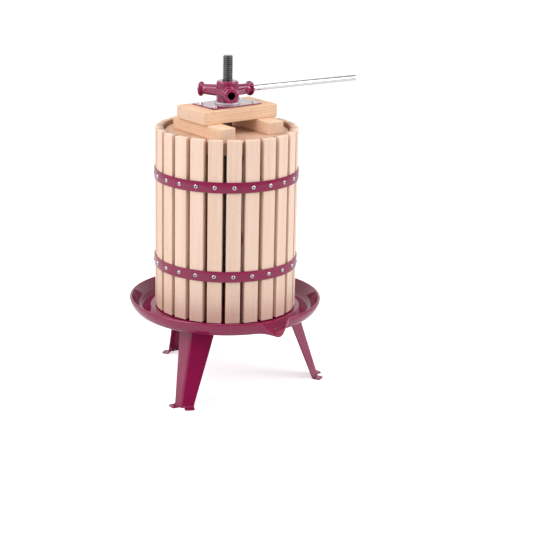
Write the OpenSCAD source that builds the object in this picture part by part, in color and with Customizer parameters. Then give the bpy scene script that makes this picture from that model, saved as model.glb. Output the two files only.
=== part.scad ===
// Fruit press: a slatted wooden basket on a three-legged steel tray, with a fixed central
// spindle, a stack of wooden press pieces and a three-armed nut turned by a loose bar.
// Millimetres, +Z up. The origin is on the floor under the spindle, and the spout points to -Y,
// a little to one side.

/* [Basket] */
// Number of staves round the basket
stave_count = 24; // [18:1:25]
// Distance from the axis to the outer flat of a stave
basket_r = 140; // [138:1:160]
// Width of a stave
stave_w = 28.5; // [22:0.5:31]
// Thickness of a stave
stave_t = 16; // [12:0.5:18]
// Height of a stave
stave_h = 362.5; // [320:0.5:420]
// Rounding along the edges of a stave
stave_edge_r = 2.5; // [1:0.25:4]
// Rounding at the ends of a stave
stave_end_r = 3; // [1:0.25:5]
// Turn of the basket on the tray at rest, in degrees
basket_turn = 0.2; // [0:0.1:15]
// Height of a hoop
hoop_h = 21; // [16:0.5:30]
// Thickness of a hoop
hoop_t = 2; // [1.5:0.25:4]
// Height of the lower hoop's middle above the stave ends
lower_hoop_at = 96; // [40:1:130]
// Height of the upper hoop's middle above the stave ends
upper_hoop_at = 272; // [220:1:300]

/* [Hoop screws] */
// Diameter of a hoop screw's head
hoop_screw_head_d = 7.5; // [6:0.5:10]
// Height of a hoop screw's domed head
hoop_screw_head_h = 2.4; // [2:0.1:4]
// Diameter of a hoop screw's shank
hoop_screw_d = 4; // [3:0.25:5]
// Length of a hoop screw under its head
hoop_screw_l = 14; // [8:0.5:15]

/* [Tray] */
// Height of the tray's raised middle above the floor
tray_h = 160.5; // [130:0.5:220]
// Thickness of the tray's sheet
tray_t = 2; // [1.5:0.25:2.5]
// Width of the raised middle outside the basket
tray_margin = 7.5; // [6:0.5:15]
// Depth of the juice channel below the raised middle
channel_depth = 10.5; // [8:0.5:16]
// Flat width at the bottom of the juice channel
channel_flat = 0.8; // [0.4:0.1:15]
// Height of the rim above the raised middle
rim_rise = 17.5; // [12:0.5:25]
// Slope of the channel's inner side, in degrees
channel_slope = 40; // [32:1:55]
// Slope of the tray's outer wall, in degrees
wall_slope = 66; // [58:1:78]
// Radius of the rolled rim
rim_roll_r = 2.6; // [2.4:0.1:4]
// Width of the spout where it leaves the wall
spout_w = 76; // [50:1:90]
// Reach of the spout beyond the rim
spout_reach = 14; // [12:0.5:40]
// Turn of the spout from the middle between the front legs, in degrees
spout_turn = -5.8; // [-15:0.1:15]
// Radius of the spout's round tip
spout_tip_r = 9; // [6:0.5:14]

/* [Legs] */
// Turn of the legs from their even places round the spindle, in degrees
leg_turn = -1.2; // [-10:0.1:10]
// Slope of the leg: how far the foot stands outside the top
leg_splay = 50; // [15:1:60]
// Width of each side of the angled leg at the tray
leg_top_w = 48; // [40:0.5:52]
// Width of each side of the angled leg at the floor
leg_foot_w = 24; // [18:0.5:32]
// Turn of each side away from the leg's outward direction, in degrees
leg_side_turn = 33; // [20:1:40]
// Thickness of the leg's sheet
leg_t = 2.5; // [2:0.25:4]
// Outer radius of the bend along the leg's ridge
leg_ridge_r = 8; // [5:0.5:12]
// Length of each foot tab
foot_tab_l = 15.5; // [12:0.5:28]
// Radius of the bend above each foot tab
foot_bend_r = 3.5; // [2:0.25:5]
// Distance of the leg bolts inside the staves
leg_bolt_in = 10; // [9:0.5:14]
// Angle of each leg bolt from the middle of its leg, in degrees
leg_bolt_angle = 15; // [12:0.5:16]
// Diameter of a leg bolt
leg_bolt_d = 8; // [6:0.5:10]

/* [Spindle] */
// Diameter of the spindle
spindle_d = 20; // [16:0.5:24]
// Length of spindle left above the crank
spindle_free = 49.5; // [45:0.5:120]
// Width across the flats of a spindle nut
spindle_nut_w = 30; // [28:0.5:36]
// Height of the spindle nut above the tray
upper_nut_h = 10; // [8:0.5:18]
// Height of the spindle nut under the tray
lower_nut_h = 16; // [10:0.5:22]
// Diameter of the support plate under the tray
support_d = 90; // [60:1:150]
// Thickness of the support plate
support_t = 5; // [3:0.5:8]

/* [Press head] */
// Depth of the press boards' top below the stave ends
board_drop = 7.5; // [5:0.5:30]
// Thickness of a press board
board_t = 25; // [18:0.5:35]
// Saw gap between the two press boards
board_gap = 1.6; // [0.5:0.1:4]
// Length of a cross beam
beam_l = 160; // [130:1:166]
// Width of a cross beam
beam_w = 35.5; // [25:0.5:42]
// Height of a cross beam
beam_h = 25; // [18:0.5:40]
// Distance of a cross beam's middle from the middle of the pair
beam_at = 59.5; // [45:0.5:62]
// Shift of the pair of cross beams to the side the bar points away from
beam_shift = 4; // [0:0.5:6]
// Shift of the left cross beam to the front
left_beam_forward = 11.5; // [0:0.5:13]
// Shift of the right cross beam to the front
right_beam_forward = 6.5; // [0:0.5:13]
// Length of the top block
block_l = 175; // [165:1:200]
// Width of the top block
block_w = 94; // [85:1:120]
// Height of the top block
block_h = 26; // [18:0.5:40]
// Length of the pressure plate
plate_l = 119; // [90:1:140]
// Width of the pressure plate
plate_w = 71.5; // [64:0.5:82]
// Thickness of the pressure plate
plate_t = 2.5; // [2:0.25:5]
// Turn of the pressure plate on the block, in degrees
plate_turn = 1.4; // [0:0.1:4]
// Distance of the plate screws from the plate's edges
plate_screw_in = 13; // [8:0.5:16]
// Length of a plate screw under its head
plate_screw_l = 16; // [10:0.5:17]
// Diameter of the thrust washer
washer_d = 50.5; // [44:0.5:58]
// Thickness of the thrust washer
washer_t = 3; // [2:0.25:5]

/* [Crank] */
// Turn of the crank at rest, in degrees
crank_turn = 2.2; // [0:0.1:120]
// Diameter of the crank hub's body
hub_d = 43; // [38:0.5:48]
// Height of the crank hub's body
hub_h = 41; // [38:0.5:55]
// Diameter of an arm
arm_d = 21; // [19:0.5:24]
// Reach of an arm from the axis
arm_reach = 58; // [48:0.5:75]
// Diameter of the collar at the end of an arm
collar_d = 28.5; // [24:0.5:32]
// Length of the collar at the end of an arm
collar_l = 6; // [5:0.5:12]
// Thickness of the web between the arms
web_t = 8; // [6:0.5:14]
// Diameter of the bar
bar_d = 12; // [10:0.5:13]
// Length of the bar
bar_l = 317; // [240:1:340]

/* [Clearances] */
// Gap between the stave ends and the tray
basket_seat_gap = 0.5; // [0.2:0.1:0.9]
// Gap between the hoops and the corners of the staves
hoop_gap = 0.05; // [0.02:0.01:0.3]
// Gap between the press boards and the staves
board_play = 3; // [1.5:0.25:6]
// Radial clearance of the spindle's holes in the wood and the plate
spindle_play = 1.5; // [0.5:0.25:3]
// Radial clearance of the nut's running fit
running_play = 0.06; // [0.02:0.01:0.1]
// Radial clearance of the bar in its sockets
socket_play = 0.5; // [0.3:0.05:0.6]
// Radial clearance round the screws and bolts
screw_play = 0.1; // [0.05:0.05:0.4]
// Radial clearance of the holes in the tray, the legs and the support plate
sheet_play = 0.5; // [0.25:0.25:1]

/* [Hidden] */
$fn = 96;
arc_steps = 4;
leg_angles = [for (turn = [210, 330, 90]) turn + leg_turn];
leg_names = ["leg_front_left", "leg_front_right", "leg_back"];
arm_count = 3;
wood_colour = "burlywood";
paint_colour = [0.52, 0.11, 0.29];
steel_colour = [0.66, 0.67, 0.68];
spindle_colour = [0.36, 0.37, 0.39];
chrome_colour = [0.85, 0.86, 0.88];

// Heights of the stack, from the tray upwards
stave_z = tray_h + basket_seat_gap;
board_z = stave_z + stave_h - board_drop - board_t;
beam_z = board_z + board_t;
block_z = beam_z + beam_h;
plate_z = block_z + block_h;
washer_z = plate_z + plate_t;
hub_z = washer_z + washer_t;
arm_z = hub_z + hub_h / 2;
spindle_top = hub_z + hub_h + spindle_free;

// Basket
stave_step = 360 / stave_count;
stave_corner_r = norm([basket_r - stave_edge_r, stave_w / 2 - stave_edge_r]) + stave_edge_r;
hoop_inner_r = stave_corner_r + hoop_gap;
hoop_outer_r = hoop_inner_r + hoop_t;
basket_inner_r = basket_r - stave_t;
board_r = basket_inner_r - board_play;
stave_names = [for (i = [1:stave_count]) str("stave_", i < 10 ? "0" : "", i)];

// Tray section, from the raised middle out to the rolled rim
crest_r = 5;
trough_r = 9;
wall_foot_r = 14;
plateau_r = basket_r + tray_margin;
channel_z = tray_h - channel_depth;
slope_run = (crest_r + trough_r) * sin(channel_slope)
    + (channel_depth - (crest_r + trough_r) * (1 - cos(channel_slope))) / tan(channel_slope);
trough_at = plateau_r + slope_run;
wall_foot_at = trough_at + channel_flat;
rim_z = tray_h + rim_rise;
roll_z = rim_z - rim_roll_r;
wall_end_z = roll_z + rim_roll_r * cos(wall_slope);
foot_end = [wall_foot_at + wall_foot_r * sin(wall_slope), channel_z + wall_foot_r * (1 - cos(wall_slope))];
wall_end_r = foot_end[0] + (wall_end_z - foot_end[1]) / tan(wall_slope);
roll_at = wall_end_r + rim_roll_r * sin(wall_slope);
rim_r = roll_at + rim_roll_r;
spout_bed_lift = 0.3;
spout_rise = 2.8;
spout_tip_h = 4;
spout_cut_rise = 4;
spindle_r = spindle_d / 2;
tray_hole_r = spindle_r + sheet_play;
leg_bolt_hole_r = leg_bolt_d / 2 + sheet_play;

// Legs
leg_top_z = tray_h - tray_t;
leg_setback = 2.5;
leg_top_r = plateau_r - leg_setback;
leg_bolt_r = basket_inner_r - leg_bolt_in;
leg_foot_r = leg_top_r + leg_splay;
leg_lean = atan(leg_splay * cos(leg_side_turn) / leg_top_z);
ridge_lean = atan(leg_splay / leg_top_z);
fold_turn = atan(tan(leg_side_turn) * cos(ridge_lean));
ridge_steps = 6;
ridge_spare = 10;
bend_sink = 0.15;
flange_edge = 15;
flange_in_r = leg_bolt_r - flange_edge;
tab_inset = 0.6;
tab_corner_r = 4;
ridge_lift = 0.5;
bolt_across = leg_bolt_d * 1.6;
bolt_head_h = leg_bolt_d * 0.66;
bolt_nut_h = leg_bolt_d * 0.8;
bolt_washer_t = 1.6;
bolt_end = 3;

// Spindle seat
nut_corner_d = spindle_nut_w / cos(30);
seat_washer_t = 3;
seat_washer_d = nut_corner_d + 6;
support_z = leg_top_z - support_t;
spindle_end = 5;
spindle_foot_z = support_z - seat_washer_t - lower_nut_h - spindle_end;

// Crank
collar_in = arm_reach - collar_l;
bar_r = bar_d / 2;
socket_r = bar_r + socket_play;
socket_wall = 8;
socket_in = spindle_r + socket_wall;
socket_lead = 2;
bar_end_gap = 1;
bar_in = socket_in + bar_end_gap;
socket_mid = (socket_in + arm_reach) / 2;
droop_share = 0.75;
bar_droop = atan(2 * droop_share * socket_play / (arm_reach - socket_in));

// Points on an arc round a centre, in equal steps
function arc(centre, radius, from, to, steps = arc_steps) = [
    for (i = [0:steps])
        let (a = from + (to - from) * i / steps)
        [centre[0] + radius * cos(a), centre[1] + radius * sin(a)]
];

// Outline of a rectangle about the origin with four round corners
function round_rectangle(length, width, radius) = concat(
    arc([length / 2 - radius, width / 2 - radius], radius, 0, 90),
    arc([radius - length / 2, width / 2 - radius], radius, 90, 180),
    arc([radius - length / 2, radius - width / 2], radius, 180, 270),
    arc([length / 2 - radius, radius - width / 2], radius, 270, 360)
);

function reversed(list) = [for (i = [len(list) - 1:-1:0]) list[i]];

// Upper face of the tray's sheet; inset moves it down through the sheet
function tray_face(inset) = concat(
    [[tray_hole_r, tray_h - inset]],
    arc([plateau_r, tray_h - crest_r], crest_r - inset, 90, 90 - channel_slope),
    arc([trough_at, channel_z + trough_r], trough_r + inset, 270 - channel_slope, 270),
    arc([wall_foot_at, channel_z + wall_foot_r], wall_foot_r + inset, 270, 270 + wall_slope, 6),
    arc([roll_at, roll_z], rim_roll_r - inset, 90 + wall_slope, 0, 8)
);

// A bar with round long edges and rounded ends, standing on the origin, X by Y by height
module rounded_bar(size, edge, end) {
    intersection() {
        linear_extrude(size[2])
            polygon(round_rectangle(size[0], size[1], edge));
        translate([0, size[1] / 2, size[2] / 2])
            rotate([90, 0, 0])
                linear_extrude(size[1])
                    polygon(round_rectangle(size[0], size[2], end));
        translate([-size[0] / 2, 0, size[2] / 2])
            rotate([90, 0, 90])
                linear_extrude(size[0])
                    polygon(round_rectangle(size[1], size[2], end));
    }
}

module hex_nut(across, height, hole_r) {
    difference() {
        cylinder(d = across / cos(30), h = height, $fn = 6);
        translate([0, 0, -1])
            cylinder(r = hole_r, h = height + 2);
    }
}

module ring(outer_r, inner_r, height) {
    difference() {
        cylinder(r = outer_r, h = height);
        translate([0, 0, -1])
            cylinder(r = inner_r, h = height + 2);
    }
}

// A screw with a domed head above the origin and its shank below
module domed_screw(head_d, head_h, shank_d, shank_l) {
    head_r = head_d / 2;
    shank_r = shank_d / 2;
    point = [shank_r * 0.6, 2];
    side_share = 0.35;
    first = 15;
    rotate_extrude()
        polygon(concat(
            [[0, -shank_l], [point[0], -shank_l], [shank_r, point[1] - shank_l], [shank_r, 0]],
            [for (a = [0:first:90])
                [head_r * cos(a), head_h * (side_share * min(1, a / first) + (1 - side_share) * sin(a))]]
        ));
}

module at_each_leg_bolt() {
    for (turn = leg_angles)
        for (side = [-1, 1])
            rotate(turn + side * leg_bolt_angle)
                translate([leg_bolt_r, 0, 0])
                    children();
}

// Trough of the spout: grow is zero for its inside and the sheet's thickness for its outside
module spout_form(grow, rise) {
    bed_r = (spout_tip_r + grow) / 2;
    bed_z = channel_z + spout_bed_lift - grow;
    rotate(spout_turn)
        hull() {
            translate([0, -wall_foot_at, 0])
                rotate([90, 0, 0])
                    linear_extrude(1)
                        polygon([
                            [-spout_w / 2 - grow, rim_z + rise],
                            [-bed_r, bed_z],
                            [bed_r, bed_z],
                            [spout_w / 2 + grow, rim_z + rise]
                        ]);
            translate([0, spout_tip_r - rim_r - spout_reach, channel_z + spout_rise - grow])
                cylinder(r1 = bed_r, r2 = spout_tip_r + grow, h = spout_tip_h + grow + rise, $fn = 32);
        }
}

module tray() {
    color(paint_colour)
        difference() {
            union() {
                rotate_extrude()
                    polygon(concat(tray_face(0), reversed(tray_face(tray_t))));
                difference() {
                    spout_form(tray_t, 0);
                    rotate_extrude()
                        polygon(concat(
                            [[0, rim_z + 1], [0, tray_h]],
                            [for (p = tray_face(tray_t / 2)) if (p[0] < roll_at - 1) p],
                            [[wall_end_r, rim_z + 1]]
                        ));
                }
            }
            spout_form(0, spout_cut_rise);
            at_each_leg_bolt()
                translate([0, 0, tray_h - tray_t - 1])
                    cylinder(r = leg_bolt_hole_r, h = tray_t + 2);
        }
}

// A leg's angled section square to its ridge, with the round bend at the origin
function leg_section(side_w) =
    let (
        centre = [-leg_ridge_r / cos(fold_turn), 0],
        tip = [-side_w * sin(fold_turn), side_w * cos(fold_turn)],
        in_tip = tip - leg_t * [cos(fold_turn), sin(fold_turn)]
    )
    concat(
        [[tip[0], -tip[1]]],
        arc(centre, leg_ridge_r, -fold_turn, fold_turn, ridge_steps),
        [tip, in_tip],
        arc(centre, leg_ridge_r - leg_t, fold_turn, -fold_turn, ridge_steps),
        [[in_tip[0], -in_tip[1]]]
    );

// One side of a leg's foot: a tab bent outwards from the leg's sheet, with round corners
module foot_tab(side) {
    along = [-sin(leg_side_turn), side * cos(leg_side_turn)];
    tab_w = leg_foot_w - leg_ridge_r / 2 - tab_inset;
    start = [leg_foot_r, 0] + along * (leg_foot_w - tab_inset - tab_w / 2);
    root = -leg_t / 2;
    bend_at = (foot_bend_r - bend_sink - (leg_t + foot_bend_r) * sin(leg_lean)) / cos(leg_lean);
    bend = arc([bend_at, leg_t + foot_bend_r], foot_bend_r, 270, 180 + leg_lean);
    bend_top = bend[arc_steps];
    translate([start[0], start[1], 0])
        rotate(side * leg_side_turn)
            intersection() {
                translate([0, tab_w, 0])
                    rotate([90, 0, 0])
                        linear_extrude(2 * tab_w)
                            polygon(concat(
                                [[root, 0], [foot_tab_l + 1, 0], [foot_tab_l + 1, leg_t]],
                                bend,
                                [[bend_top[0] + root, bend_top[1]]]
                            ));
                linear_extrude(bend_top[1] + 1)
                    polygon(concat(
                        [[-foot_tab_l, -tab_w / 2]],
                        arc([foot_tab_l - tab_corner_r, tab_corner_r - tab_w / 2], tab_corner_r, -90, 0),
                        arc([foot_tab_l - tab_corner_r, tab_w / 2 - tab_corner_r], tab_corner_r, 0, 90),
                        [[-foot_tab_l, tab_w / 2]]
                    ));
            }
}

// The angled sheet of a leg along +X: a folded strip along the ridge, cut to a taper
module leg_sheet() {
    strip_w = leg_top_w * 1.2;
    top_z = leg_top_z - leg_t / 2;
    foot_y = leg_foot_w * cos(leg_side_turn);
    top_y = leg_top_w * cos(leg_side_turn);
    intersection() {
        translate([leg_foot_r + ridge_spare * tan(ridge_lean), 0, -ridge_spare])
            rotate([0, -ridge_lean, 0])
                linear_extrude((leg_top_z + 2 * ridge_spare) / cos(ridge_lean))
                    polygon(leg_section(strip_w));
        rotate([90, 0, 90])
            linear_extrude(leg_foot_r + leg_foot_w)
                polygon([[-foot_y, ridge_lift], [foot_y, ridge_lift], [top_y, top_z], [-top_y, top_z]]);
    }
}

// A whole leg along +X: the sheet with a bolted flange above and two tabs below
module leg_shape() {
    middle = leg_t / 2;
    ridge = leg_top_r - leg_ridge_r * (1 / cos(leg_side_turn) - 1) - middle;
    tip = [
        leg_top_r - leg_top_w * sin(leg_side_turn) - middle * cos(leg_side_turn),
        leg_top_w * cos(leg_side_turn) - middle * sin(leg_side_turn)
    ];
    difference() {
        union() {
            leg_sheet();
            translate([0, 0, leg_top_z - leg_t])
                linear_extrude(leg_t)
                    polygon([
                        [flange_in_r, -tip[1]],
                        [tip[0], -tip[1]],
                        [ridge, 0],
                        tip,
                        [flange_in_r, tip[1]]
                    ]);
            foot_tab(-1);
            foot_tab(1);
        }
        for (side = [-1, 1])
            rotate(side * leg_bolt_angle)
                translate([leg_bolt_r, 0, leg_top_z - leg_t - 1])
                    cylinder(r = leg_bolt_hole_r, h = leg_t + 2);
    }
}

module leg(index) {
    color(paint_colour)
        rotate(leg_angles[index])
            leg_shape();
}

module leg_bolts() {
    shank = tray_t + leg_t + bolt_washer_t + bolt_nut_h + bolt_end;
    color(steel_colour)
        at_each_leg_bolt() {
            translate([0, 0, tray_h])
                cylinder(d = bolt_across / cos(30), h = bolt_head_h, $fn = 6);
            translate([0, 0, tray_h - shank])
                cylinder(d = leg_bolt_d, h = shank + 0.5);
        }
}

module leg_washers() {
    color(steel_colour)
        at_each_leg_bolt()
            translate([0, 0, leg_top_z - leg_t - bolt_washer_t])
                ring(leg_bolt_d, leg_bolt_d / 2 + screw_play * 2, bolt_washer_t);
}

module leg_nuts() {
    color(steel_colour)
        at_each_leg_bolt()
            translate([0, 0, leg_top_z - leg_t - bolt_washer_t - bolt_nut_h])
                hex_nut(bolt_across, bolt_nut_h, leg_bolt_d / 2 + screw_play);
}

// The spindle's thread is shown by its outer diameter
module spindle() {
    chamfer = 2;
    color(spindle_colour)
        rotate_extrude()
            polygon([
                [0, spindle_foot_z],
                [spindle_r - chamfer, spindle_foot_z],
                [spindle_r, spindle_foot_z + chamfer],
                [spindle_r, spindle_top - chamfer],
                [spindle_r - chamfer, spindle_top],
                [0, spindle_top]
            ]);
}

module spindle_upper_nut() {
    color(steel_colour)
        translate([0, 0, tray_h + seat_washer_t])
            hex_nut(spindle_nut_w, upper_nut_h, spindle_r + screw_play);
}

module spindle_lower_nut() {
    color(steel_colour)
        translate([0, 0, support_z - seat_washer_t - lower_nut_h])
            hex_nut(spindle_nut_w, lower_nut_h, spindle_r + screw_play);
}

module spindle_washers() {
    color(steel_colour)
        for (z = [tray_h, support_z - seat_washer_t])
            translate([0, 0, z])
                ring(seat_washer_d / 2, spindle_r + screw_play * 3, seat_washer_t);
}

module support_plate() {
    color(paint_colour)
        translate([0, 0, support_z])
            ring(support_d / 2, tray_hole_r, support_t);
}

// A stave standing on the tray with a pilot hole for each hoop's screw
module stave(index) {
    color(wood_colour)
        rotate(basket_turn + index * stave_step)
            difference() {
                translate([basket_r - stave_t / 2, 0, stave_z])
                    rounded_bar([stave_t, stave_w, stave_h], stave_edge_r, stave_end_r);
                for (at = [lower_hoop_at, upper_hoop_at])
                    translate([hoop_outer_r - hoop_screw_l - screw_play, 0, stave_z + at])
                        rotate([0, 90, 0])
                            cylinder(d = hoop_screw_d + 2 * screw_play, h = hoop_screw_l + 5);
            }
}

module hoop(at) {
    color(paint_colour)
        translate([0, 0, stave_z + at])
            difference() {
                translate([0, 0, -hoop_h / 2])
                    ring(hoop_outer_r, hoop_inner_r, hoop_h);
                for (i = [0:stave_count - 1])
                    rotate([0, 90, basket_turn + i * stave_step])
                        translate([0, 0, hoop_inner_r - 2])
                            cylinder(d = hoop_screw_d + 4 * screw_play, h = hoop_t + 4);
            }
}

module hoop_screws(at) {
    color(steel_colour)
        for (i = [0:stave_count - 1])
            rotate([0, 90, basket_turn + i * stave_step])
                translate([-stave_z - at, 0, hoop_outer_r])
                    domed_screw(hoop_screw_head_d, hoop_screw_head_h, hoop_screw_d, hoop_screw_l);
}

// Half of the round press board, on the side of the given sign of Y
module press_board(side) {
    color(wood_colour)
        translate([0, 0, board_z])
            difference() {
                cylinder(r = board_r, h = board_t);
                translate([0, 0, -1])
                    cylinder(r = spindle_r + spindle_play, h = board_t + 2);
                translate([-board_r - 1, side > 0 ? -board_r - 1 : -board_gap / 2, -1])
                    cube([2 * board_r + 2, board_r + 1 + board_gap / 2, board_t + 2]);
            }
}

module beam(side, forward) {
    edge = 2.5;
    color(wood_colour)
        translate([side * beam_at - beam_shift, -forward, beam_z])
            rounded_bar([beam_w, beam_l, beam_h], edge, edge);
}

module top_block() {
    edge = 2;
    color(wood_colour)
        translate([0, 0, block_z])
            difference() {
                rounded_bar([block_l, block_w, block_h], edge, edge);
                translate([0, 0, -1])
                    cylinder(r = spindle_r + spindle_play, h = block_h + 2);
                at_each_plate_screw()
                    translate([0, 0, block_h - plate_screw_l])
                        cylinder(d = hoop_screw_d + 2 * screw_play, h = plate_screw_l + 1);
            }
}

module at_each_plate_screw() {
    for (x = [-1, 1])
        for (y = [-1, 1])
            rotate(plate_turn)
                translate([x * (plate_l / 2 - plate_screw_in), y * (plate_w / 2 - plate_screw_in), 0])
                    children();
}

module pressure_plate() {
    corner = 4;
    color(paint_colour)
        translate([0, 0, plate_z])
            difference() {
                rotate(plate_turn)
                    linear_extrude(plate_t)
                        polygon(round_rectangle(plate_l, plate_w, corner));
                translate([0, 0, -1])
                    cylinder(r = spindle_r + spindle_play, h = plate_t + 2);
                at_each_plate_screw()
                    translate([0, 0, -1])
                        cylinder(d = hoop_screw_d + 4 * screw_play, h = plate_t + 2);
            }
}

module plate_screws() {
    color(steel_colour)
        at_each_plate_screw()
            translate([0, 0, washer_z])
                domed_screw(hoop_screw_head_d, hoop_screw_head_h, hoop_screw_d, plate_screw_l);
}

module thrust_washer() {
    color(steel_colour)
        translate([0, 0, washer_z])
            ring(washer_d / 2, spindle_r + spindle_play, washer_t);
}

// One arm of the crank along +X, with the collar at its end
module crank_arm() {
    collar_edge = 2;
    collar_lead = 3;
    arm_r = arm_d / 2;
    edge_at = collar_d / 2 - collar_edge;
    translate([0, 0, arm_z])
        rotate([0, 90, 0])
            rotate_extrude()
                polygon(concat(
                    [[0, 0], [arm_r, 0], [arm_r, collar_in - collar_lead], [edge_at, collar_in]],
                    arc([edge_at, collar_in + collar_edge], collar_edge, -90, 0),
                    arc([edge_at, arm_reach - collar_edge], collar_edge, 0, 90),
                    [[0, arm_reach]]
                ));
}

// The bar's socket in the arm along +X, with a widened mouth
module crank_socket() {
    depth = arm_reach - socket_in;
    translate([socket_in, 0, arm_z])
        rotate([0, 90, 0]) {
            cylinder(r = socket_r, h = depth + 1);
            translate([0, 0, depth - socket_lead])
                cylinder(r1 = socket_r, r2 = socket_r + socket_lead, h = socket_lead + 0.01);
        }
}

// Flat three-sided web that joins the arms
module crank_web() {
    translate([0, 0, arm_z - web_t / 2])
        cylinder(r = collar_in, h = web_t, $fn = arm_count);
}

// Round casting of the crank: a body, three arms with collars, and a web between them
module crank_hub() {
    edge = 3;
    edge_at = hub_d / 2 - edge;
    color(paint_colour)
        rotate(crank_turn)
            difference() {
                union() {
                    translate([0, 0, hub_z])
                        rotate_extrude()
                            polygon(concat(
                                [[0, 0]],
                                arc([edge_at, edge], edge, -90, 0),
                                arc([edge_at, hub_h - edge], edge, 0, 90),
                                [[0, hub_h]]
                            ));
                    for (i = [0:arm_count - 1])
                        rotate(i * 360 / arm_count)
                            crank_arm();
                    crank_web();
                }
                translate([0, 0, hub_z - 1])
                    cylinder(r = spindle_r + running_play, h = hub_h + 2);
                for (i = [0:arm_count - 1])
                    rotate(i * 360 / arm_count)
                        crank_socket();
            }
}

// The loose bar in one arm, with chamfered ends, hanging down a little by its play in the socket
module crank_bar() {
    chamfer = 1.2;
    color(chrome_colour)
        rotate(crank_turn)
            translate([socket_mid, 0, arm_z])
                rotate([0, 90 + bar_droop, 0])
                    translate([0, 0, bar_in - socket_mid])
                        rotate_extrude()
                            polygon([
                                [0, 0],
                                [bar_r - chamfer, 0],
                                [bar_r, chamfer],
                                [bar_r, bar_l - chamfer],
                                [bar_r - chamfer, bar_l],
                                [0, bar_l]
                            ]);
}

tray();
for (i = [0:len(leg_names) - 1])
    leg(i);
leg_bolts();
leg_washers();
leg_nuts();
spindle();
spindle_upper_nut();
spindle_lower_nut();
spindle_washers();
support_plate();
for (i = [0:stave_count - 1])
    stave(i);
hoop(upper_hoop_at);  // upper_hoop
hoop(lower_hoop_at);  // lower_hoop
hoop_screws(upper_hoop_at);  // upper_hoop_screws
hoop_screws(lower_hoop_at);  // lower_hoop_screws
press_board(-1);  // press_board_front
press_board(1);  // press_board_back
beam(-1, left_beam_forward);  // beam_left
beam(1, right_beam_forward);  // beam_right
top_block();
pressure_plate();
plate_screws();
thrust_washer();
crank_hub();
crank_bar();
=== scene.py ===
"""Looks of a hand fruit press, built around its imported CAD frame. Metres, +Z up."""

import math
import random

import bmesh
import bpy
from mathutils import Matrix, Vector
from mathutils.geometry import interpolate_bezier


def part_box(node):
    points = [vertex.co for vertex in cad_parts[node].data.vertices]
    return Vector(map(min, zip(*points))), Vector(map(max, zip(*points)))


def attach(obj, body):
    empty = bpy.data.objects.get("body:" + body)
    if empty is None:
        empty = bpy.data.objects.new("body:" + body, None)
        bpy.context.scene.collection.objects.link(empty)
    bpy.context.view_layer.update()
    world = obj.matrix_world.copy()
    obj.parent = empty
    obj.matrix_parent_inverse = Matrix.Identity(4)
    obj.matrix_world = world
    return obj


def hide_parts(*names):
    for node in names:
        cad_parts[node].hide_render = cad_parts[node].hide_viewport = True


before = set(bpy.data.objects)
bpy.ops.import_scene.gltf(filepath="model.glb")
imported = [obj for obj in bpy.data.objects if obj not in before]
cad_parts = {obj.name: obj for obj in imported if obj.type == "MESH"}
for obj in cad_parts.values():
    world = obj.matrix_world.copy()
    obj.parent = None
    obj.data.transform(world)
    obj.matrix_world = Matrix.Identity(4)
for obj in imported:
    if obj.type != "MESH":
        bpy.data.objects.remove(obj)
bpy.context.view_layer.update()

MM = 0.001
QUARTER = math.pi / 2

# Basket
STAVE_W = 28 * MM
STAVE_T = 16 * MM
STAVE_EDGE = 1.5 * MM
STAVE_LIFT = 1.2 * MM
HOOP_T = 2 * MM
HOOP_EDGE = 0.4 * MM

# Screws and nuts
SCREW_HEAD_R = 3.75 * MM
SCREW_HEAD_H = 2.4 * MM
SCREW_SHANK_R = 2 * MM
SCREW_SHANK_L = 6 * MM
HEAD_RIM_SHARE = 0.35
HEAD_ROUNDNESS = 2.6
RECESS_L = 2.4 * MM
RECESS_HALF_W = 0.95 * MM
RECESS_DEPTH = 1.6 * MM
RECESS_SIDE_RUN = 0.35 * MM
RECESS_END_RUN = 0.6 * MM
RECESS_TAPER = 0.35
NUT_CLEARANCE = 0.1 * MM
NUT_CHAMFER = math.radians(30)
NUT_CHAMFER_SHARE = 0.985
NUT_FACE_SHARE = 0.95

# Tray section
TRAY_T = 2 * MM
TRAY_HOLE_R = 10.5 * MM
PLATEAU_R = 147.5 * MM
CREST_R = 5 * MM
TROUGH_R = 9 * MM
WALL_FOOT_R = 14 * MM
CHANNEL_DEPTH = 10.5 * MM
CHANNEL_FLAT = 0.8 * MM
CHANNEL_SLOPE = math.radians(40)
WALL_SLOPE = math.radians(66)
RIM_RISE = 17.5 * MM
RIM_ROLL_R = 2.6 * MM
OUTER_WALL_DROP = 9 * MM
OUTER_WALL_RUN = 15 * MM

# Spout
SPOUT_TURN = math.radians(-5.8)
SPOUT_HALF_W = 37 * MM
SPOUT_RISE = 2.5 * MM
SPOUT_LIP_DROP = 1 * MM
SPOUT_LIP_FROM = 0.8
SPOUT_BED_CURVE = 1.1
SPOUT_SHOULDER_CURVE = 0.85
SPOUT_STEP = math.radians(0.5)
SPOUT_STEPS = 40
REST_STEPS = 170

# Legs
LEG_ANGLES = {"leg_front_left": 208.8, "leg_front_right": 328.8, "leg_back": 88.8}
LEG_T = 2.5 * MM
LEG_EDGE = 0.5 * MM
LEG_TOP_R = 145 * MM
LEG_SPLAY = 50 * MM
LEG_TOP_W = 48 * MM
LEG_FOOT_W = 24 * MM
LEG_SIDE_TURN = math.radians(33)
LEG_RIDGE_R = 8 * MM
LEG_RIDGE_END = 0.5 * MM
FOOT_TAB_L = 15.5 * MM
FOOT_TAB_CORNER = 4 * MM
FOOT_BEND_R = 3.5 * MM
FLANGE_IN_R = 99 * MM
FLANGE_EDGE = 0.4 * MM
FLANGE_GAP = 0.02 * MM

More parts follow.
